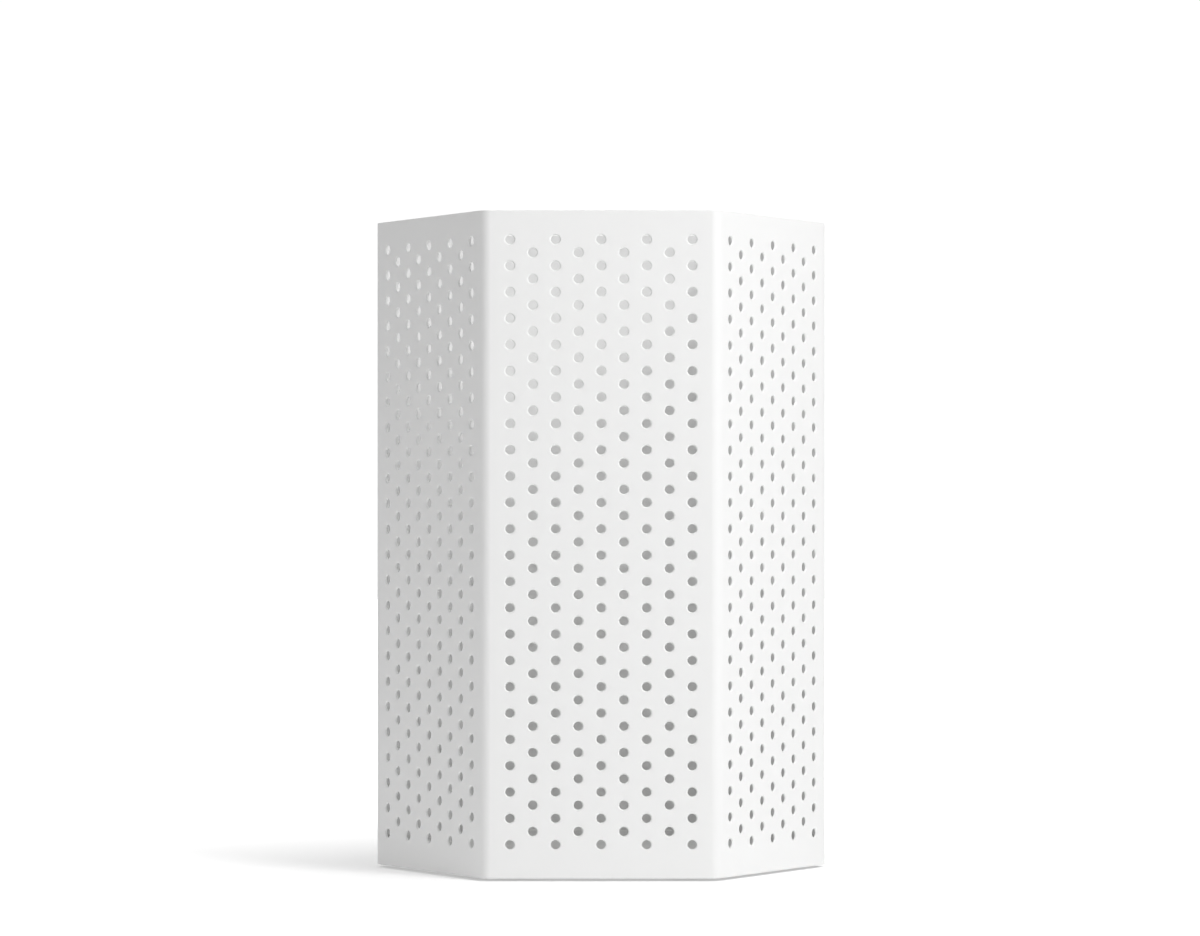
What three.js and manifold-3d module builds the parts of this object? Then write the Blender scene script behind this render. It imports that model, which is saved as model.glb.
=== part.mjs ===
// Hexagonal umbrella stand of folded sheet aluminium, with a lift-out drip tray.
// Millimetres, +Z up, standing on z = 0 with its axis on x = y = 0.
// Two faces of the hexagon look along -Y (front) and +Y (rear), two corners lie on the X axis.
import * as THREE from 'three';
import { mergeVertices } from 'three/addons/utils/BufferGeometryUtils.js';
import Module from 'manifold-3d';

const wasm = await Module();
wasm.setup();

// The body
const standHeight = 500;     // floor to rim
const cornerDistance = 175;  // axis to a sharp corner, so one face is 175 wide before rounding
const bendRadius = 9.5;      // outside radius of each vertical fold
const sheet = 2;             // thickness of the coated sheet
const footProud = 2;         // the body's lower edge hangs this far above the floor
const fitGap = 0.3;          // clearance left between pieces that touch

// The two vertical seams, each on a rear side face, measured along the face from its sharp corner
const seamStart = 8.5;       // where the front shell's outer face ends
const joggleLength = 2.8;    // the front shell steps inwards over this length
const lapEnd = 20;           // the lap's free edge
const lapLow = 24;           // the lap stops clear of the base pan
const lapHigh = 486;         // and short of the rim

// The base pan and its drip tray
const panSheet = 1.5;        // thickness of the pan's sheet
const panUnderside = 5.5;    // height of the pan's underside
const panRim = 19;           // top of the pan's upturned flange
const trayClearance = 1.2;   // between the tray's wall and the pan's flange
const trayWall = 1.8;        // thickness of the tray's moulded wall
const trayFloorTop = 13.2;
const trayFloorThickness = 1.8;
const trayRim = 19.5;
const trayRibWidth = 1.6;

// The screwed-on feet
const footCircleRadius = 130;
const footRadius = 11;
const footChamfer = 0.6;
const footRecessRadius = 5.5;
const footWeb = 1.8;         // rubber left between the washer and the pan
const screwRadius = 2;
const screwHeadRadius = 3.75;
const screwHeadHeight = 1.5;
const screwHeadLift = 0.5;   // the head stays this far above the floor
const screwEnd = 10.9;
const crossWidth = 0.9;      // the head's cross recess
const crossSpan = 4.4;
const washerRadius = 5;
const washerThickness = 0.8;
const nutAcrossFlats = 7;
const nutHeight = 3.2;

// How finely the curves are cut
const bendSteps = 8;
const roundSteps = 24;

const corners = 6;
const sixth = Math.PI / 3;
const apothem = cornerDistance * Math.cos(sixth / 2);
const halfFace = cornerDistance / 2;
const panTop = panUnderside + panSheet;
const screwHoleRadius = screwRadius + fitGap;

const powderCoat = { color: 0xf4f4f3, roughness: 0.5, metalness: 0 };
const mouldedPlastic = { color: 0xf0f0ee, roughness: 0.4, metalness: 0 };
const footRubber = { color: 0x8d8d8a, roughness: 0.8, metalness: 0 };
const platedSteel = { color: 0xb9bbbd, roughness: 0.35, metalness: 1 };

// A closed geometry as a solid, with only its positions kept and its shared vertices merged.
function solidOf(geometry) {
  const bare = geometry.clone();
  bare.deleteAttribute('normal');
  bare.deleteAttribute('uv');
  const merged = mergeVertices(bare, 1e-4);
  const vertProperties = new Float32Array(merged.attributes.position.array);
  const triVerts = new Uint32Array(merged.index.array);
  return new wasm.Manifold(new wasm.Mesh({ numProp: 3, vertProperties, triVerts }));
}

function geometryOf(solid) {
  const result = solid.getMesh();
  const geometry = new THREE.BufferGeometry();
  geometry.setAttribute('position', new THREE.BufferAttribute(result.vertProperties, 3));
  geometry.setIndex(new THREE.BufferAttribute(result.triVerts, 1));
  geometry.computeVertexNormals();
  return geometry;
}

// A flat outline raised into a slab between two heights.
function slab(outline, low, high) {
  const options = { depth: high - low, bevelEnabled: false, curveSegments: roundSteps / 2 };
  const geometry = new THREE.ExtrudeGeometry(outline, options);
  geometry.translate(0, 0, low);
  return geometry;
}

// A profile of [radius, height] points turned about the vertical axis.
function turned(profile) {
  const points = profile.map(([radius, height]) => new THREE.Vector2(radius, height));
  const geometry = new THREE.LatheGeometry(points, roundSteps);
  geometry.rotateX(Math.PI / 2);
  return geometry;
}

function namedMesh(name, geometry, finish) {
  const mesh = new THREE.Mesh(geometry, new THREE.MeshStandardMaterial(finish));
  mesh.name = name;
  return mesh;
}

// The fold at one corner of the hexagon, as points at a given depth below the outer faces.
function foldPoints(cornerAngle, inset) {
  const centreDistance = (apothem - bendRadius) / Math.cos(sixth / 2);
  const x = centreDistance * Math.cos(cornerAngle);
  const y = centreDistance * Math.sin(cornerAngle);
  const radius = bendRadius - inset;
  const start = cornerAngle - sixth / 2;
  const end = cornerAngle + sixth / 2;
  return new THREE.EllipseCurve(x, y, radius, radius, start, end).getPoints(bendSteps);
}

// A point on a face, given the way the face looks, the distance along it from its middle,
// and the depth below its outer surface.
function facePoint(normalAngle, along, inset) {
  const reach = apothem - inset;
  const x = reach * Math.cos(normalAngle) - along * Math.sin(normalAngle);
  const y = reach * Math.sin(normalAngle) + along * Math.cos(normalAngle);
  return new THREE.Vector2(x, y);
}

// The whole hexagon with its folds, drawn at a given depth below the outer faces.
function hexagonOutline(inset) {
  const points = [];
  for (let corner = 0; corner < corners; corner += 1) {
    points.push(...foldPoints(corner * sixth, inset));
  }
  return new THREE.Shape(points);
}

// One open side of a half shell at one depth: a seam, the folds between, and the other seam.
function shellSide(half, inset) {
  const folds = half.folds.flatMap((corner) => foldPoints(corner * sixth, inset));
  const first = facePoint(half.firstFace * sixth, half.firstAlong, inset);
  const last = facePoint(half.lastFace * sixth, half.lastAlong, inset);
  return [first, ...folds, last];
}

// The half shell's sheet seen from above, between two depths.
function shellOutline(half, outerInset, innerInset) {
  return new THREE.Shape([...shellSide(half, outerInset), ...shellSide(half, innerInset).reverse()]);
}

// A half shell's wall, from its lower edge to the rim.
function shellWall(half) {
  return slab(shellOutline(half, 0, sheet), footProud, standHeight);
}

// The stepped strip along one seam that passes behind the rear shell. side is 1 at the +X
// corner and -1 at the -X corner.
function lapStrip(side) {
  const behind = sheet + fitGap;
  const section = [
    [seamStart - joggleLength, sheet / 2],
    [seamStart - joggleLength, sheet],
    [seamStart, behind + sheet],
    [lapEnd, behind + sheet],
    [lapEnd, behind],
    [seamStart, behind],
    [seamStart, sheet / 2],
  ];
  const faceAngle = side > 0 ? sixth / 2 : Math.PI - sixth / 2;
  const points = section.map(([fromCorner, inset]) => {
    return facePoint(faceAngle, side * (fromCorner - halfFace), inset);
  });
  return solidOf(slab(new THREE.Shape(points), lapLow, lapHigh));
}

// Front, left-front and right-front faces, folded on past the two side corners to the seams.
function frontShell() {
  const half = {
    folds: [3, 4, 5, 6],
    firstFace: 2.5,
    firstAlong: halfFace - seamStart,
    lastFace: 6.5,
    lastAlong: seamStart - halfFace,
  };
  return geometryOf(solidOf(shellWall(half)).add(lapStrip(1)).add(lapStrip(-1)));
}

// Rear, left-rear and right-rear faces, ending flush against the front shell at the seams.
function rearShell() {
  const half = {
    folds: [1, 2],
    firstFace: 0.5,
    firstAlong: seamStart + fitGap - halfFace,
    lastFace: 2.5,
    lastAlong: halfFace - seamStart - fitGap,
  };
  return shellWall(half);
}

// Where each foot is screwed on, one towards every corner.
function footPlaces() {
  const places = [];
  for (let corner = 0; corner < corners; corner += 1) {
    const angle = corner * sixth;
    places.push([footCircleRadius * Math.cos(angle), footCircleRadius * Math.sin(angle)]);
  }
  return places;
}

// The floor of the stand: a shallow pan with an upturned flange and a screw hole for each foot.
function basePan() {
  const outerInset = sheet + fitGap;
  const block = solidOf(slab(hexagonOutline(outerInset), panUnderside, panRim));
  const hollow = solidOf(slab(hexagonOutline(outerInset + panSheet), panTop, panRim + 1));
  let pan = block.subtract(hollow);
  for (const [x, y] of footPlaces()) {
    const hole = new THREE.Shape();
    hole.absarc(x, y, screwHoleRadius, 0, 2 * Math.PI);
    pan = pan.subtract(solidOf(slab(hole, panUnderside - 1, panTop + 1)));
  }
  return geometryOf(pan);
}

// The loose tray: a raised floor inside a low wall, standing on the pan on its skirt. The ribs
// under its floor stop a little short of the pan.
function dripTray() {
  const outerInset = sheet + fitGap + panSheet + trayClearance;
  const innerOutline = hexagonOutline(outerInset + trayWall);
  const skirtFoot = panTop + fitGap;
  const floorUnderside = trayFloorTop - trayFloorThickness;
  const basin = solidOf(slab(innerOutline, trayFloorTop, trayRim + 1));
  const underside = solidOf(slab(innerOutline, skirtFoot - 1, floorUnderside));
  let tray = solidOf(slab(hexagonOutline(outerInset), skirtFoot, trayRim));
  tray = tray.subtract(basin).subtract(underside);
  const ribFoot = skirtFoot + fitGap;
  const ribHeight = floorUnderside - ribFoot + trayFloorThickness / 2;
  const ribLength = 2 * (apothem - outerInset - trayWall / 2);
  for (let pair = 0; pair < corners / 2; pair += 1) {
    const rib = new THREE.BoxGeometry(ribLength, trayRibWidth, ribHeight);
    rib.rotateZ((pair + 0.5) * sixth);
    rib.translate(0, 0, ribFoot + ribHeight / 2);
    tray = tray.add(solidOf(rib));
  }
  return geometryOf(tray);
}

// A round rubber foot with a recess for the washer and the screw's head.
function rubberFoot() {
  const top = panUnderside - fitGap;
  return turned([
    [screwHoleRadius, top - footWeb],
    [footRecessRadius, top - footWeb],
    [footRecessRadius, 0],
    [footRadius - footChamfer, 0],
    [footRadius, footChamfer],
    [footRadius, top - footChamfer],
    [footRadius - footChamfer, top],
    [screwHoleRadius, top],
    [screwHoleRadius, top - footWeb],
  ]);
}

function footWasher() {
  const top = panUnderside - footWeb - 2 * fitGap;
  return turned([
    [screwHoleRadius, top - washerThickness],
    [washerRadius, top - washerThickness],
    [washerRadius, top],
    [screwHoleRadius, top],
    [screwHoleRadius, top - washerThickness],
  ]);
}

// A low-headed machine screw, head down, with a cross recess in its head.
function footScrew() {
  const headTop = screwHeadLift + screwHeadHeight;
  const chamfer = 0.4;
  const blank = turned([
    [0, screwHeadLift],
    [screwHeadRadius - chamfer, screwHeadLift],
    [screwHeadRadius, screwHeadLift + chamfer],
    [screwHeadRadius, headTop],
    [screwRadius, headTop],
    [screwRadius, screwEnd - chamfer],
    [screwRadius - chamfer, screwEnd],
    [0, screwEnd],
  ]);
  const slotHeight = screwHeadHeight;
  const slot = new THREE.BoxGeometry(crossSpan, crossWidth, slotHeight);
  slot.translate(0, 0, screwHeadLift);
  const crossSlot = slot.clone().rotateZ(Math.PI / 2);
  return geometryOf(solidOf(blank).subtract(solidOf(slot)).subtract(solidOf(crossSlot)));
}

// A hexagon nut on the pan's upper side, under the tray's raised floor.
function footNut() {
  const outline = new THREE.Shape();
  const reach = nutAcrossFlats / 2 / Math.cos(sixth / 2);
  for (let corner = 0; corner < corners; corner += 1) {
    const x = reach * Math.cos(corner * sixth);
    const y = reach * Math.sin(corner * sixth);
    if (corner === 0) {
      outline.moveTo(x, y);
    } else {
      outline.lineTo(x, y);
    }
  }
  outline.closePath();
  const bore = new THREE.Path();
  bore.absarc(0, 0, screwHoleRadius, 0, 2 * Math.PI);
  outline.holes.push(bore);
  return slab(outline, panTop + fitGap, panTop + fitGap + nutHeight);
}

const group = new THREE.Group();
group.add(namedMesh('front_shell', frontShell(), powderCoat));
group.add(namedMesh('rear_shell', rearShell(), powderCoat));
group.add(namedMesh('base_pan', basePan(), powderCoat));
group.add(namedMesh('drip_tray', dripTray(), mouldedPlastic));

footPlaces().forEach(([x, y], index) => {
  const number = index + 1;
  const fixing = new THREE.Group();
  fixing.position.set(x, y, 0);
  fixing.add(namedMesh(`foot_${number}`, rubberFoot(), footRubber));
  fixing.add(namedMesh(`foot_washer_${number}`, footWasher(), platedSteel));
  fixing.add(namedMesh(`foot_screw_${number}`, footScrew(), platedSteel));
  fixing.add(namedMesh(`foot_nut_${number}`, footNut(), platedSteel));
  group.add(fixing);
});

export default group;
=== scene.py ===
# A hexagonal umbrella stand of folded, powder-coated sheet: the body is pierced on its three front
# faces, and holds a loose moulded drip tray over a base pan on six screwed-on feet. Metres, +Z up.
import math
import bpy
import numpy as np
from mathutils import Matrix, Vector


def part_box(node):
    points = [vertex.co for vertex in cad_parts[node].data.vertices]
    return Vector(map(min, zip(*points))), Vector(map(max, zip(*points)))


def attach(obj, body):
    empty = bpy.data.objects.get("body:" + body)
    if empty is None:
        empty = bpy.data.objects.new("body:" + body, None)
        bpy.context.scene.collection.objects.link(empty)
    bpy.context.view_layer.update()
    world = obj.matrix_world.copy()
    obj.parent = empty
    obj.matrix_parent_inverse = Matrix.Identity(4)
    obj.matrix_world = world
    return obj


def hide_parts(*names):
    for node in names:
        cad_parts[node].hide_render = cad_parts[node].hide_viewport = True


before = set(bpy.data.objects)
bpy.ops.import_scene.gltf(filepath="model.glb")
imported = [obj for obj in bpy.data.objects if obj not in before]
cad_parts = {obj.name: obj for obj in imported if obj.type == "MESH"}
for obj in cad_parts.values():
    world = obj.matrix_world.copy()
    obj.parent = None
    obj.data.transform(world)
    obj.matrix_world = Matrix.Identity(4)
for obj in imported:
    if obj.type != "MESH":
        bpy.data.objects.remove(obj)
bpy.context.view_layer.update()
scene = bpy.context.scene
sixth = math.pi / 3              # of a whole turn
quarter = math.pi / 2
weldStep = 1e-6                  # points that round to the same step are one point
nearly = 1e-8                    # slack where two lengths are compared
tiny = 1e-20                     # keeps a zero vector from dividing by zero
print("frame loaded:", len(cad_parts), "nodes")


rearLow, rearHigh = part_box("rear_shell")
body = {
    "apothem": rearHigh.y,        # axis to the outside of a flat face
    "foot": rearLow.z,            # lower edge of the sheet
    "top": rearHigh.z,
    "bendRadius": 0.0095,         # outside radius of each fold
    "bendSteps": 12,
    "sheet": 0.002,
    "edgeRound": 0.0007,          # the coating rounds every cut edge
    "edgeSteps": 4,
    "seamFromCorner": 0.0085,     # where the front shell ends on the rear side faces
    "seamGap": 0.0003,
}
faceWidth = 2 * body["apothem"] * math.tan(sixth / 2)
flatWidth = faceWidth - 2 * body["bendRadius"] * math.tan(sixth / 2)
bendLength = body["bendRadius"] * sixth
period = flatWidth + bendLength


# Folds flat sheet round the hexagon. Its outer surface runs straight for flatWidth, then turns
# through 60 degrees on bendRadius, over and over. A point is the centre of that bend, plus the way
# gone along the flat, plus (bendRadius - depth) along the outward direction at that place.
def foldSheet(around, height, depth, facing):
    turns = np.floor((around + flatWidth / 2) / period)
    gone = around + flatWidth / 2 - turns * period
    faceAngle = facing + turns * sixth
    along = np.clip(gone, 0, flatWidth) - flatWidth / 2
    outward = faceAngle + np.clip(gone - flatWidth, 0, bendLength) / body["bendRadius"]
    centre = body["apothem"] - body["bendRadius"]
    reach = body["bendRadius"] - depth
    x = centre * np.cos(faceAngle) - along * np.sin(faceAngle) + reach * np.cos(outward)
    y = centre * np.sin(faceAngle) + along * np.cos(faceAngle) + reach * np.sin(outward)
    return np.stack(np.broadcast_arrays(x, y, height), axis=-1)


# Four-cornered faces over a grid of points. They face the way that the cross product of the
# first index's direction and the second's does.
def gridFaces(rows, columns, flipped=False):
    first, second = np.meshgrid(np.arange(rows - 1), np.arange(columns - 1), indexing="ij")
    corner = (first * columns + second).ravel()
    faces = np.stack([corner, corner + columns, corner + columns + 1, corner + 1], axis=1)
    return faces[:, ::-1] if flipped else faces


# A patch is its points, its faces, and the group that each face is smoothed in.
def gridPatch(points, group=0, flipped=False):
    faces = gridFaces(points.shape[0], points.shape[1], flipped)
    return points.reshape(-1, 3), faces, np.full(len(faces), group)


# Joins patches into one mesh. Points that fall together become one, and a face that loses a corner
# by that is a triangle. The smoothed normal at a corner is the sum of the area vectors of the faces
# around it that are in the same group, so large flats stay flat beside small rounded edges.
def makePiece(name, patches, bodyName, material, node):
    patchPoints, patchFaces, patchGroups = zip(*patches)
    starts = np.cumsum([0] + [len(points) for points in patchPoints])
    points = np.concatenate(patchPoints)
    faces = np.concatenate([faces + start for faces, start in zip(patchFaces, starts)])
    groups = np.concatenate(patchGroups)
    keys = np.round(points / weldStep).astype(np.int64)
    first, merged = np.unique(keys, axis=0, return_index=True, return_inverse=True)[1:]
    points = points[first]
    faces = merged.ravel()[faces]
    lost = faces == np.roll(faces, -1, axis=1)
    whole = lost.sum(axis=1) == 0
    thin = lost.sum(axis=1) == 1
    quads = faces[whole]
    triangles = faces[thin][~lost[thin]].reshape(-1, 3)
    groups = np.concatenate([groups[whole], groups[thin]])
    quadAreas = np.cross(points[quads[:, 2]] - points[quads[:, 0]],
                         points[quads[:, 3]] - points[quads[:, 1]])
    triangleAreas = np.cross(points[triangles[:, 1]] - points[triangles[:, 0]],
                             points[triangles[:, 2]] - points[triangles[:, 0]])
    cornerPoints = np.concatenate([quads.ravel(), triangles.ravel()])
    cornerAreas = np.concatenate([np.repeat(quadAreas, 4, axis=0),
                                  np.repeat(triangleAreas, 3, axis=0)])
    cornerGroups = np.concatenate([np.repeat(groups[:len(quads)], 4),
                                   np.repeat(groups[len(quads):], 3)])
    sums = np.zeros((cornerGroups.max() + 1, len(points), 3))
    np.add.at(sums, (cornerGroups, cornerPoints), cornerAreas)
    normals = sums[cornerGroups, cornerPoints]
    normals /= np.linalg.norm(normals, axis=1)[:, None] + tiny

    mesh = bpy.data.meshes.new(name)
    mesh.from_pydata(points.tolist(), [], quads.tolist() + triangles.tolist())
    mesh.polygons.foreach_set("use_smooth", np.ones(len(mesh.polygons), bool))
    mesh.normals_split_custom_set(normals.tolist())
    mesh.materials.append(material)
    piece = bpy.data.objects.new(name, mesh)
    scene.collection.objects.link(piece)
    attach(piece, bodyName)
    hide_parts(node)
    print("made", name, len(points), "points", len(mesh.polygons), "faces")


# Adds a shader node. A value whose name is one of the node's own settings goes there, and any
# other goes to the socket of that name.
def addNode(tree, kind, **values):
    node = tree.nodes.new(kind)
    for key, value in values.items():
        if hasattr(node, key):
            setattr(node, key, value)
        else:
            node.inputs[key.replace("_", " ")].default_value = value
    return node


# Fine grain over broad soft patches, for every coated or moulded surface.
def makeGrainGroup():
    group = bpy.data.node_groups.new("surfaceGrain", "ShaderNodeTree")
    group.interface.new_socket(name="Vector", in_out="INPUT", socket_type="NodeSocketVector")
    group.interface.new_socket(name="Grain Scale", in_out="INPUT", socket_type="NodeSocketFloat")
    group.interface.new_socket(name="Patch Scale", in_out="INPUT", socket_type="NodeSocketFloat")
    group.interface.new_socket(name="Grain", in_out="OUTPUT", socket_type="NodeSocketFloat")
    group.interface.new_socket(name="Patches", in_out="OUTPUT", socket_type="NodeSocketFloat")
    source = addNode(group, "NodeGroupInput")
    result = addNode(group, "NodeGroupOutput")
    grain = addNode(group, "ShaderNodeTexNoise", Detail=2.0, Roughness=0.55)
    patches = addNode(group, "ShaderNodeTexNoise", Detail=3.0, Roughness=0.5, Distortion=0.3)
    link = group.links.new
    link(source.outputs["Vector"], grain.inputs["Vector"])
    link(source.outputs["Grain Scale"], grain.inputs["Scale"])
    link(source.outputs["Vector"], patches.inputs["Vector"])
    link(source.outputs["Patch Scale"], patches.inputs["Scale"])
    link(grain.outputs["Fac"], result.inputs["Grain"])
    link(patches.outputs["Fac"], result.inputs["Patches"])
    return group


grainGroup = makeGrainGroup()
noiseSpan = (0.3, 0.7)           # what the broad patches' values keep between
rangeSockets = ("From Min", "From Max", "To Min", "To Max")
mixColourInputs = (0, 6, 7)      # a Mix node's factor and two colours, which share their names
mixColourOutput = 2
mixNumberInputs = (2, 3)


# A Principled surface whose colour and roughness drift with the broad patches, and whose
# bump is the fine grain.
def makeGrained(name, look):
    material = bpy.data.materials.new(name)
    material.use_nodes = True
    tree = material.node_tree
    link = tree.links.new
    shader = tree.nodes["Principled BSDF"]
    for socket, value in look["shader"].items():
        shader.inputs[socket].default_value = value
    place = addNode(tree, "ShaderNodeTexCoord")
    grain = addNode(tree, "ShaderNodeGroup", node_tree=grainGroup)
    grain.inputs["Grain Scale"].default_value = look["grainScale"]
    grain.inputs["Patch Scale"].default_value = look["patchScale"]
    link(place.outputs["Object"], grain.inputs["Vector"])
    colour = addNode(tree, "ShaderNodeMix", data_type="RGBA")
    factor, first, second = (colour.inputs[number] for number in mixColourInputs)
    first.default_value = (*look["colour"], 1)
    second.default_value = (*look["drift"], 1)
    link(grain.outputs["Patches"], factor)
    link(colour.outputs[mixColourOutput], shader.inputs["Base Color"])
    sheen = addNode(tree, "ShaderNodeMapRange")
    for name, value in zip(rangeSockets, noiseSpan + look["roughness"]):
        sheen.inputs[name].default_value = value
    link(grain.outputs["Patches"], sheen.inputs["Value"])
    link(sheen.outputs["Result"], shader.inputs["Roughness"])
    bump = addNode(tree, "ShaderNodeBump", Strength=1.0, Distance=look["grainHeight"])
    link(grain.outputs["Grain"], bump.inputs["Height"])
    link(bump.outputs["Normal"], shader.inputs["Normal"])
    return material


powderCoat = makeGrained("powderCoat", {
    "colour": (0.9, 0.9, 0.895),
    "drift": (0.888, 0.889, 0.886),
    "roughness": (0.46, 0.54),
    "grainScale": 1100.0,         # orange peel just under a millimetre across
    "grainHeight": 0.00002,
    "patchScale": 22.0,
    "shader": {"Specular IOR Level": 0.45},
})
mouldedPlastic = makeGrained("mouldedPlastic", {
    "colour": (0.86, 0.86, 0.85),
    "drift": (0.845, 0.847, 0.84),
    "roughness": (0.38, 0.48),
    "grainScale": 2600.0,
    "grainHeight": 0.000015,
    "patchScale": 30.0,
    "shader": {"Specular IOR Level": 0.5},
})
footRubber = makeGrained("footRubber", {
    "colour": (0.27, 0.27, 0.265),
    "drift": (0.23, 0.23, 0.228),
    "roughness": (0.72, 0.85),
    "grainScale": 3200.0,
    "grainHeight": 0.00003,
    "patchScale": 120.0,
    "shader": {"Specular IOR Level": 0.35},
})
zincPlate = makeGrained("zincPlate", {
    "colour": (0.62, 0.63, 0.65),
    "drift": (0.56, 0.57, 0.57),
    "roughness": (0.26, 0.4),
    "grainScale": 4200.0,
    "grainHeight": 0.000006,
    "patchScale": 420.0,
    "shader": {"Metallic": 1.0},
})
print("materials made")


view = {
    "place": (0.0, -3.635, 0.262),
    "lens": 140.34,
    "sensor": 36.0,
    "shift": (-0.0008, 0.0513),   # the stand is framed a little below the middle
    "farthest": 100.0,
}
camera = bpy.data.objects.new("camera", bpy.data.cameras.new("camera"))
camera.location = view["place"]
camera.rotation_euler = (quarter, 0, 0)
camera.data.lens = view["lens"]
camera.data.sensor_width = view["sensor"]
camera.data.shift_x, camera.data.shift_y = view["shift"]
camera.data.clip_end = view["farthest"]
scene.collection.objects.link(camera)
scene.camera = camera
scene.view_settings.view_transform = "Standard"

studio = {
    "backdrop": 1.03,             # what the camera sees behind the stand
    "ambient": 0.15,              # what lights it from all round
    "floorColour": 0.86,
    "floorRoughness": 0.9,
    "floorSide": 28.0,
    "floorGlow": (0.24, 0.12),    # painted glow that lights the stand from below: near the stand and far off
    "floorReach": (0.5, 2.5),     # from the axis
    "floorSeen": (0.27, 1.25),    # the same as the camera sees it, fading into the backdrop: painted light that also fades the stand's shadow far off
    "floorSeenReach": (0.2, 1.2),
    "floorShadeUnderBody": (0.15, 0.157, 0.82),  # painted shade under the body, as less glow there: apothems, and the share left
}
# Azimuths go from straight in front towards +X, and distances from the middle of the body.
lamps = {
    "key": {"size": 0.8, "power": 26.3, "azimuth": 40, "elevation": 32, "distance": 2.4},
    "side": {"size": 1.4, "power": 5.3, "azimuth": -100, "elevation": 4, "distance": 2.2},
    "top": {"size": 4.5, "power": 54.0, "azimuth": 80, "elevation": 83, "distance": 2.2},
}


# The camera sees the bright backdrop, and the weaker ambient light falls on everything.
def makeWorld():
    world = bpy.data.worlds.new("studio")
    world.use_nodes = True
    scene.world = world
    tree = world.node_tree
    ambient = tree.nodes["Background"]
    ambient.inputs["Color"].default_value = (1, 1, 1, 1)
    ambient.inputs["Strength"].default_value = studio["ambient"]
    backdrop = addNode(tree, "ShaderNodeBackground", Strength=studio["backdrop"])
    backdrop.inputs["Color"].default_value = (1, 1, 1, 1)
    path = addNode(tree, "ShaderNodeLightPath")
    mix = addNode(tree, "ShaderNodeMixShader")
    tree.links.new(path.outputs["Is Camera Ray"], mix.inputs[0])
    tree.links.new(ambient.outputs[0], mix.inputs[1])
    tree.links.new(backdrop.outputs[0], mix.inputs[2])
    tree.links.new(mix.outputs[0], tree.nodes["World Output"].inputs["Surface"])


# How far out a place on the floor is, as the apothem of the upright hexagon through it: the
# larger of |y| and |x| cos 30 + |y| sin 30.
def hexagonDistance(tree, place):
    sides = addNode(tree, "ShaderNodeVectorMath", operation="ABSOLUTE")
    tree.links.new(place, sides.inputs[0])
    slanted = addNode(tree, "ShaderNodeVectorMath", operation="DOT_PRODUCT")
    slanted.inputs[1].default_value = (math.cos(sixth / 2), math.sin(sixth / 2), 0)
    tree.links.new(sides.outputs["Vector"], slanted.inputs[0])
    split = addNode(tree, "ShaderNodeSeparateXYZ")
    tree.links.new(sides.outputs["Vector"], split.inputs[0])
    larger = addNode(tree, "ShaderNodeMath", operation="MAXIMUM")
    tree.links.new(slanted.outputs["Value"], larger.inputs[0])
    tree.links.new(split.outputs["Y"], larger.inputs[1])
    return larger.outputs[0]


# The floor's glow is painted light, standing in for light the floor throws back. It has one strength for
# the camera and another for all other rays. Both fade with the distance from the axis, and both are less
# under the body, which paints shade there.
def makeFloor():
    material = bpy.data.materials.new("paleFloor")
    material.use_nodes = True
    tree = material.node_tree
    shader = tree.nodes["Principled BSDF"]
    shade = studio["floorColour"]
    shader.inputs["Base Color"].default_value = (shade, shade, shade, 1)
    shader.inputs["Roughness"].default_value = studio["floorRoughness"]
    shader.inputs["Specular IOR Level"].default_value = 0.0
    shader.inputs["Emission Color"].default_value = (1, 1, 1, 1)
    place = addNode(tree, "ShaderNodeTexCoord")
    distance = addNode(tree, "ShaderNodeVectorMath", operation="LENGTH")
    tree.links.new(place.outputs["Object"], distance.inputs[0])
    path = addNode(tree, "ShaderNodeLightPath")
    choose = addNode(tree, "ShaderNodeMix")
    tree.links.new(path.outputs["Is Camera Ray"], choose.inputs[0])
    # Painted light: the camera sees the floor glow more with distance, and other rays see it glow less.
    fades = (studio["floorReach"] + studio["floorGlow"],
             studio["floorSeenReach"] + studio["floorSeen"])
    for socket, values in zip(mixNumberInputs, fades):
        fade = addNode(tree, "ShaderNodeMapRange")
        for name, value in zip(rangeSockets, values):
            fade.inputs[name].default_value = value
        tree.links.new(distance.outputs["Value"], fade.inputs["Value"])
        tree.links.new(fade.outputs["Result"], choose.inputs[socket])
    # Painted shade: the glow is dimmed under the body, as if the stand's shade fell there.
    shadeUnderBody = addNode(tree, "ShaderNodeMapRange")
    for name, value in zip(rangeSockets, studio["floorShadeUnderBody"]):
        shadeUnderBody.inputs[name].default_value = value
    tree.links.new(hexagonDistance(tree, place.outputs["Object"]), shadeUnderBody.inputs["Value"])
    glow = addNode(tree, "ShaderNodeMath", operation="MULTIPLY")
    tree.links.new(choose.outputs[0], glow.inputs[0])
    tree.links.new(shadeUnderBody.outputs["Result"], glow.inputs[1])
    tree.links.new(glow.outputs[0], shader.inputs["Emission Strength"])
    reach = studio["floorSide"] / 2
    mesh = bpy.data.meshes.new("floor")
    corners = [(-reach, -reach, 0), (reach, -reach, 0), (reach, reach, 0), (-reach, reach, 0)]
    mesh.from_pydata(corners, [], [(0, 1, 2, 3)])
    mesh.materials.append(material)
    floor = bpy.data.objects.new("floor", mesh)
    scene.collection.objects.link(floor)


# A round lamp that looks at the middle of the body.
def makeLamp(name, lamp):
    data = bpy.data.lights.new(name, "AREA")
    data.shape = "DISK"
    data.size = lamp["size"]
    data.energy = lamp["power"]
    azimuth = math.radians(lamp["azimuth"])
    elevation = math.radians(lamp["elevation"])
    towards = np.array([math.sin(azimuth) * math.cos(elevation),
                        -math.cos(azimuth) * math.cos(elevation), math.sin(elevation)])
    holder = bpy.data.objects.new(name, data)
    holder.location = np.array([0, 0, body["top"] / 2]) + towards * lamp["distance"]
    holder.rotation_euler = (quarter - elevation, 0, azimuth)
    scene.collection.objects.link(holder)


makeWorld()
makeFloor()
for name, lamp in lamps.items():
    makeLamp(name, lamp)
print("studio made")


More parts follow.
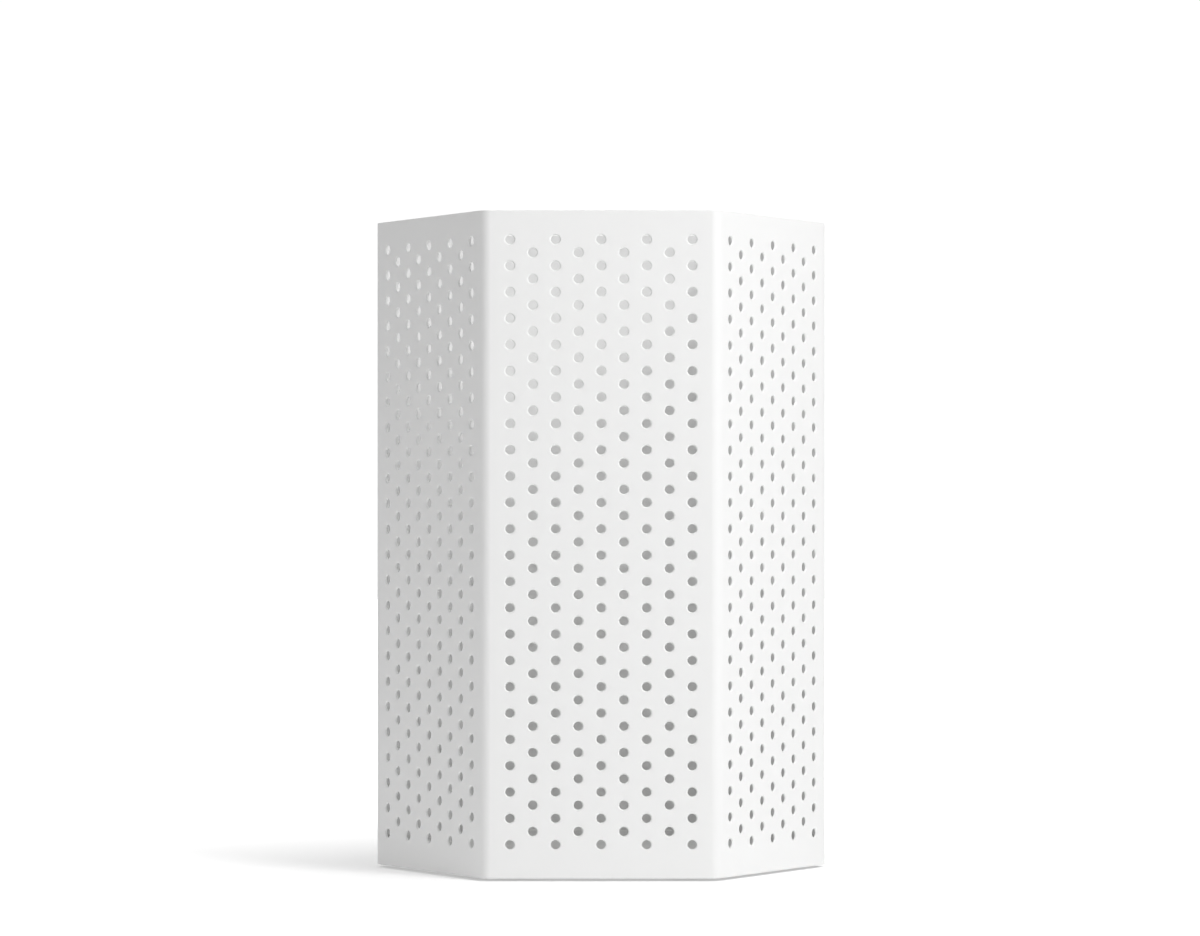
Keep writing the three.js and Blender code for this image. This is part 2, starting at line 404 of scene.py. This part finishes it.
holes = {
    "radius": 0.0034,
    "lip": 0.0012,                # radius of the rounded lip on the outside
    "backLip": 0.00075,           # and of the smaller one on the inside
    "columns": 9,
    "columnGap": 0.016974,
    "rows": 24,                   # in every other column, and one less between
    "pitch": 0.0196,
    "bottomRow": 0.0273,
    "points": 16,                 # round one hole
}
holes["cellSteps"] = holes["points"] // 4    # along each side of the cell round a hole
holes["fieldHalf"] = holes["columns"] / 2 * holes["columnGap"]
holes["fieldLow"] = holes["bottomRow"] - holes["pitch"] / 2
holes["fieldHigh"] = holes["fieldLow"] + holes["rows"] * holes["pitch"]
lap = {
    "start": 0.0062,              # from the sharp corner, where it leaves the wall
    "settled": 0.0085,            # where it has come in behind the rear shell
    "end": 0.020,
    "low": 0.024,                 # its lower and upper edges
    "high": 0.486,
    "lines": 7,                   # of points along its S
    "levels": 7,                  # of points up its height
}
rear = {
    "lines": 9,                   # of points across each flat face
    "lineSpan": 0.8,              # the share of the face's width that they cover
    "levels": 26,                 # of points up its height
}


# Half of the sheet's edge-on outline, from the middle of its lower edge, round onto the outer
# surface, up through the given heights, and round to the middle of its upper edge.
def edgeOutline(low, high, heights):
    radius = body["edgeRound"]
    angle = np.linspace(0, quarter, body["edgeSteps"] + 1)
    half = [body["sheet"] / 2]
    depth = np.concatenate([half, radius * (1 - np.sin(angle)), np.zeros(len(heights)),
                            radius * (1 - np.cos(angle)), half])
    height = np.concatenate([[low], low + radius * (1 - np.cos(angle)), heights,
                             high - radius * (1 - np.sin(angle)), [high]])
    return depth, height


# How far the rounding of the sheet's two upright ends takes the surface in: a quarter circle
# over the last edgeRound of the sheet.
def endRounding(around, start, end):
    radius = body["edgeRound"]
    short = np.clip(radius - np.minimum(around - start, end - around), 0, radius)
    return radius - np.sqrt(radius ** 2 - short ** 2)


# Where the surface has lines of points: along the rounded ends, along each fold, and at any
# others given.
def aroundLines(start, end, firstBend, bends, others):
    angle = np.linspace(0, quarter, body["edgeSteps"] + 1)
    rounding = body["edgeRound"] * (1 - np.cos(angle))
    lines = [start + rounding, end - rounding, others]
    for bend in range(firstBend, firstBend + bends):
        lines.append(bend * period + flatWidth / 2 + np.linspace(0, bendLength, body["bendSteps"] + 1))
    return np.unique(np.round(np.concatenate(lines), 9))


# One side of a stretch of wall. Its depth is measured from the middle of the sheet, so that
# the rounding at the ends shrinks it towards that middle.
def wallSide(around, outline, span, facing, inner, shift=None):
    half = body["sheet"] / 2
    depth, height = outline
    narrowing = 1 - endRounding(around, *span) / half
    fromMiddle = (half - depth)[None, :] * narrowing[:, None]
    total = half + fromMiddle if inner else half - fromMiddle
    if shift is not None:
        total = total + shift(around)[:, None]
    return foldSheet(around[:, None], height[None, :], total, facing)


def wallPatches(around, outline, span, facing, shift=None):
    outer = wallSide(around, outline, span, facing, False, shift)
    inner = wallSide(around, outline, span, facing, True, shift)
    return [gridPatch(outer), gridPatch(inner, 1, True)]


# The narrow upright ends of a sheet, between its outer and inner sides.
def endPatches(outline, span, facing, shift=None):
    patches = []
    for place, flipped in ((span[0], True), (span[1], False)):
        around = np.array([place])
        sides = [wallSide(around, outline, span, facing, inner, shift)[0] for inner in (False, True)]
        patches.append(gridPatch(np.stack(sides), 0, flipped))
    return patches


# The cell round one hole, as rings of points: the cell's edge on the outer surface, three rings
# down the outer lip, three over the inner lip, and the cell's edge on the inner surface. A
# rectangle's edge in even steps is a triangle wave clipped to one.
def holeRings():
    count = holes["points"]
    step = np.arange(count)

    def clippedWave(number):
        place = number % count
        return np.clip(count / 8 - np.minimum(place, count - place) * 8 / count, -1, 1)

    edge = np.stack([clippedWave(step) * holes["columnGap"] / 2,
                     clippedWave(step - count // 4) * holes["pitch"] / 2])
    angle = step * 2 * math.pi / count
    circle = np.stack([np.cos(angle), np.sin(angle)])
    lipAngle = np.array([0, quarter / 2, quarter])
    into = 1 - np.sin(lipAngle)
    down = 1 - np.cos(lipAngle)
    radii = holes["radius"] + np.concatenate([holes["lip"] * into, holes["backLip"] * into[::-1]])
    depths = np.concatenate([holes["lip"] * down, body["sheet"] - holes["backLip"] * down[::-1]])
    across = [edge] + [radius * circle for radius in radii] + [edge]
    deep = np.array([0, *depths, body["sheet"]])
    return np.stack(across), deep


# All the hole cells of one face at once, and the plain half cells that end the shorter columns.
def perforatedFace(face, facing):
    across, deep = holeRings()
    column, row = np.meshgrid(np.arange(holes["columns"]), np.arange(holes["rows"]), indexing="ij")
    real = row < holes["rows"] - column % 2
    column, row = column[real], row[real]
    centre = face * period + (column - (holes["columns"] - 1) / 2) * holes["columnGap"]
    middle = holes["bottomRow"] + (row + column % 2 / 2) * holes["pitch"]
    around = centre[:, None, None] + across[None, :, 0, :]
    height = middle[:, None, None] + across[None, :, 1, :]
    depth = np.broadcast_to(deep[None, :, None], around.shape)
    points = foldSheet(around, height, depth, facing)
    cells, rings, count = around.shape
    ring, step = np.meshgrid(np.arange(rings - 1), np.arange(count), indexing="ij")
    after = (step + 1) % count
    one = np.stack([ring * count + step, ring * count + after,
                    (ring + 1) * count + after, (ring + 1) * count + step], axis=-1).reshape(-1, 4)
    faces = (one[None] + (np.arange(cells) * rings * count)[:, None, None]).reshape(-1, 4)
    ringGroup = (ring == rings - 2).astype(int).ravel()
    patches = [(points.reshape(-1, 3), faces, np.tile(ringGroup, cells))]
    for shortColumn in range(1, holes["columns"], 2):
        left = face * period + (shortColumn - holes["columns"] / 2) * holes["columnGap"]
        around = left + np.linspace(0, holes["columnGap"], holes["cellSteps"] + 1)
        for low in (holes["fieldLow"], holes["fieldHigh"] - holes["pitch"] / 2):
            height = low + np.linspace(0, holes["pitch"] / 2, holes["cellSteps"] // 2 + 1)
            for deepness, inner in ((0, False), (body["sheet"], True)):
                plain = foldSheet(around[:, None], height[None, :], deepness, facing)
                patches.append(gridPatch(plain, int(inner), inner))
    return patches


# Three pierced faces, and a plain strip round each side corner as far as the seam. Places along
# the sheet are measured from the middle of its middle face.
def makeFrontShell():
    facing = -quarter
    end = 2 * period - faceWidth / 2 + body["seamFromCorner"]
    span = (-end, end)
    levels = holes["cellSteps"] * holes["rows"] + 1
    fieldHeights = np.linspace(holes["fieldLow"], holes["fieldHigh"], levels)
    lines = holes["cellSteps"] * holes["columns"] + 1
    fieldAcross = np.linspace(-holes["fieldHalf"], holes["fieldHalf"], lines)
    fieldLines = [face * period + fieldAcross for face in (-1, 0, 1)]
    around = aroundLines(-end, end, -2, 4, np.concatenate(fieldLines))
    depth, height = edgeOutline(body["foot"], body["top"], fieldHeights)
    below = height <= holes["fieldLow"] + nearly
    above = height >= holes["fieldHigh"] - nearly
    beside = (height >= holes["fieldLow"] - nearly) & (height <= holes["fieldHigh"] + nearly)
    patches = []
    for part in (below, above):
        patches += wallPatches(around, (depth[part], height[part]), span, facing)
    fieldEdges = [face * period + side * holes["fieldHalf"] for face in (-1, 0, 1) for side in (-1, 1)]
    edges = [-end, *fieldEdges, end]
    for left, right in zip(edges[0::2], edges[1::2]):
        strip = around[(around >= left - nearly) & (around <= right + nearly)]
        patches += wallPatches(strip, (depth[beside], height[beside]), span, facing)
    for face in (-1, 0, 1):
        patches += perforatedFace(face, facing)
    patches += endPatches((depth, height), span, facing)
    for side in (-1, 1):
        patches += lapStrip(side, facing)
    makePiece("perforated_shell", patches, "stand", powderCoat, "front_shell")


# The strip that carries on past a seam, behind the rear shell. It steps in by one thickness and
# the gap, along a smooth S: 3 u^2 - 2 u^3.
def lapStrip(side, facing):
    corner = 2 * period - faceWidth / 2
    span = tuple(sorted((side * (corner + lap["start"]), side * (corner + lap["end"]))))

    def stepIn(around):
        length = lap["settled"] - lap["start"]
        share = np.clip((np.abs(around) - corner - lap["start"]) / length, 0, 1)
        behind = body["sheet"] + body["seamGap"]
        start = body["seamGap"]
        return start + (behind - start) * share ** 2 * (3 - 2 * share)

    stepLines = side * (corner + np.linspace(lap["start"], lap["settled"], lap["lines"]))
    around = aroundLines(*span, 0, 0, stepLines)
    heights = np.linspace(lap["low"], lap["high"], lap["levels"])[1:-1]
    outline = edgeOutline(lap["low"], lap["high"], heights)
    return wallPatches(around, outline, span, facing, stepIn) + endPatches(outline, span, facing, stepIn)


# The rest of the hexagon, less a gap at each seam.
def makeRearShell():
    facing = quarter
    end = period + faceWidth / 2 - body["seamFromCorner"] - body["seamGap"]
    span = (-end, end)
    across = np.linspace(-rear["lineSpan"], rear["lineSpan"], rear["lines"]) * flatWidth / 2
    flats = [face * period + across for face in (-1, 0, 1)]
    around = aroundLines(-end, end, -1, 2, np.concatenate(flats))
    heights = np.linspace(body["foot"], body["top"], rear["levels"])[1:-1]
    outline = edgeOutline(body["foot"], body["top"], heights)
    patches = wallPatches(around, outline, span, facing) + endPatches(outline, span, facing)
    makePiece("plain_shell", patches, "stand", powderCoat, "rear_shell")


makeFrontShell()
makeRearShell()


# An outline of rings carried round the whole hexagon. Each ring has a depth below the body's outer
# faces, a height, and a share: 1 at that depth, and less where it shrinks towards the axis.
def hexagonPiece(depth, height, share):
    steps = np.linspace(0, 1, tray["aroundSteps"] + 1)[:-1]
    once = np.concatenate([(steps - 0.5) * flatWidth, flatWidth / 2 + steps * bendLength])
    around = (np.arange(6)[:, None] * period + once).ravel()
    around = np.append(around, around[0] + 6 * period)
    points = foldSheet(around[:, None], height[None, :], depth[None, :], quarter)
    points[..., :2] *= share[None, :, None]
    return gridPatch(points)


# Part of a circle in an outline, from one direction to another, in radians.
def outlineArc(depth, height, radius, start, end, steps):
    angle = np.linspace(start, end, steps + 1)
    return np.stack([depth + radius * np.cos(angle), height + radius * np.sin(angle)], axis=1)


trayLow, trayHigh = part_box("drip_tray")
tray = {
    "depth": body["apothem"] - trayHigh.y,
    "foot": trayLow.z,
    "rim": trayHigh.z,
    "wall": 0.0018,
    "floorTop": 0.0132,
    "floorThickness": 0.0018,
    "fillet": 0.0016,
    "footRound": 0.0006,
    "ribWidth": 0.0016,
    "ribClear": 0.0003,
    "middleDepth": 0.0092,        # inside this the rings shrink towards the axis
    "middleRings": 9,
    "aroundSteps": 8,             # along each flat, and as many round each fold
    "roundSteps": 5,
    "rimSteps": 10,
    "filletSteps": 6,
    "ribRound": 0.6,              # of half the rib's width
    "ribRoundSteps": 3,
}


# The tray's outline runs out along the underside, round its foot, up the outer wall, over the rim,
# down inside, and back over the raised floor.
def makeTray():
    outer = tray["depth"]
    inner = outer + tray["wall"]
    under = tray["floorTop"] - tray["floorThickness"]
    rimRadius = tray["wall"] / 2
    small = tray["footRound"]
    fillet = tray["fillet"]
    steps = tray["roundSteps"]
    shares = np.linspace(0, 1, tray["middleRings"])
    outline = np.concatenate([
        outlineArc(inner + small, under - small, small, quarter, 2 * quarter, steps),
        outlineArc(inner - small, tray["foot"] + small, small, 0, -quarter, steps),
        outlineArc(outer + small, tray["foot"] + small, small, -quarter, -2 * quarter, steps),
        outlineArc(outer + rimRadius, tray["rim"] - rimRadius, rimRadius, 2 * quarter, 0,
                   tray["rimSteps"]),
        outlineArc(inner + fillet, tray["floorTop"] + fillet, fillet, -2 * quarter, -quarter,
                   tray["filletSteps"]),
    ])
    middle = np.full(tray["middleRings"], tray["middleDepth"])
    depth = np.concatenate([middle, outline[:, 0], middle])
    underside = np.full(len(middle), under)
    floorTop = np.full(len(middle), tray["floorTop"])
    height = np.concatenate([underside, outline[:, 1], floorTop])
    share = np.concatenate([shares, np.ones(len(outline)), shares[::-1]])
    patches = [hexagonPiece(depth, height, share)]
    for pair in range(3):
        patches += ribPatches((pair + 0.5) * sixth)
    makePiece("moulded_tray", patches, "tray", mouldedPlastic, "drip_tray")


# A straight rib through the axis, as a rounded rectangle carried from wall to wall, with its
# upper half inside the tray's floor. Both ends close on the middle of the rectangle.
def ribPatches(direction):
    low = tray["foot"] + tray["ribClear"]
    high = tray["floorTop"] - tray["floorThickness"] / 2
    half = tray["ribWidth"] / 2
    reach = body["apothem"] - tray["depth"] - tray["wall"] / 2
    radius = half * tray["ribRound"]
    steps = tray["ribRoundSteps"]
    section = np.concatenate([
        outlineArc(half - radius, low + radius, radius, -quarter, 0, steps),
        outlineArc(half - radius, high - radius, radius, 0, quarter, steps),
        outlineArc(radius - half, high - radius, radius, quarter, 2 * quarter, steps),
        outlineArc(radius - half, low + radius, radius, 2 * quarter, 3 * quarter, steps),
    ])
    section = np.append(section, section[:1], axis=0)
    middle = np.array([[0, (low + high) / 2]] * len(section))
    along = np.array([-reach, -reach, -reach / 2, 0, reach / 2, reach, reach])
    across = np.stack([middle] + [section] * 5 + [middle])
    x = along[:, None] * math.cos(direction) - across[..., 0] * math.sin(direction)
    y = along[:, None] * math.sin(direction) + across[..., 0] * math.cos(direction)
    return [gridPatch(np.stack([x, y, across[..., 1]], axis=-1))]


makeTray()


footLow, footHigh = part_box("foot_1")
foot = {
    "circle": (footLow.x + footHigh.x) / 2,   # from the stand's axis to each foot's
    "radius": (footHigh.x - footLow.x) / 2,
    "top": footHigh.z,
    "bore": 0.0023,
    "recess": 0.0055,
    "web": 0.0018,
    "round": 0.0008,
    "recessRound": 0.0004,
    "roundSteps": 5,
    "recessRoundSteps": 3,
    "turnSteps": 48,
}


# An outline of radius and height turned about an upright line through a place.
def turnedPatch(outline, place):
    angle = np.linspace(0, 4 * quarter, foot["turnSteps"] + 1)
    x = place[0] + outline[None, :, 0] * np.cos(angle)[:, None]
    y = place[1] + outline[None, :, 0] * np.sin(angle)[:, None]
    z = np.broadcast_to(outline[None, :, 1], x.shape)
    return gridPatch(np.stack([x, y, z], axis=-1))


# A foot's outline runs along the web's underside, down the recess, under the foot, up its outside,
# over the top and down the bore.
def makeFeet():
    large = foot["round"]
    largeSteps = foot["roundSteps"]
    small = foot["recessRound"]
    smallSteps = foot["recessRoundSteps"]
    webLow = foot["top"] - foot["web"]
    outline = np.concatenate([
        [[foot["bore"], webLow]],
        outlineArc(foot["recess"] - small, webLow - small, small, quarter, 0, smallSteps),
        outlineArc(foot["recess"] + small, small, small, 2 * quarter, 3 * quarter, smallSteps),
        outlineArc(foot["radius"] - large, large, large, -quarter, 0, largeSteps),
        outlineArc(foot["radius"] - large, foot["top"] - large, large, 0, quarter, largeSteps),
        [[foot["bore"], foot["top"]]],
        [[foot["bore"], webLow]],
    ])
    for number in range(1, 7):
        angle = (number - 1) * sixth
        place = (foot["circle"] * math.cos(angle), foot["circle"] * math.sin(angle))
        node = f"foot_{number}"
        patches = [turnedPatch(outline, place)]
        makePiece(f"rubber_{node}", patches, "stand", footRubber, node)


# Gives a CAD node that stays as it is its finish.
def finishNode(name, material):
    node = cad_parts[name]
    node.data.materials.clear()
    node.data.materials.append(material)


makeFeet()
finishNode("base_pan", powderCoat)
for number in range(1, 7):
    for part in ("washer", "screw", "nut"):
        finishNode(f"foot_{part}_{number}", zincPlate)
print("fixings finished")
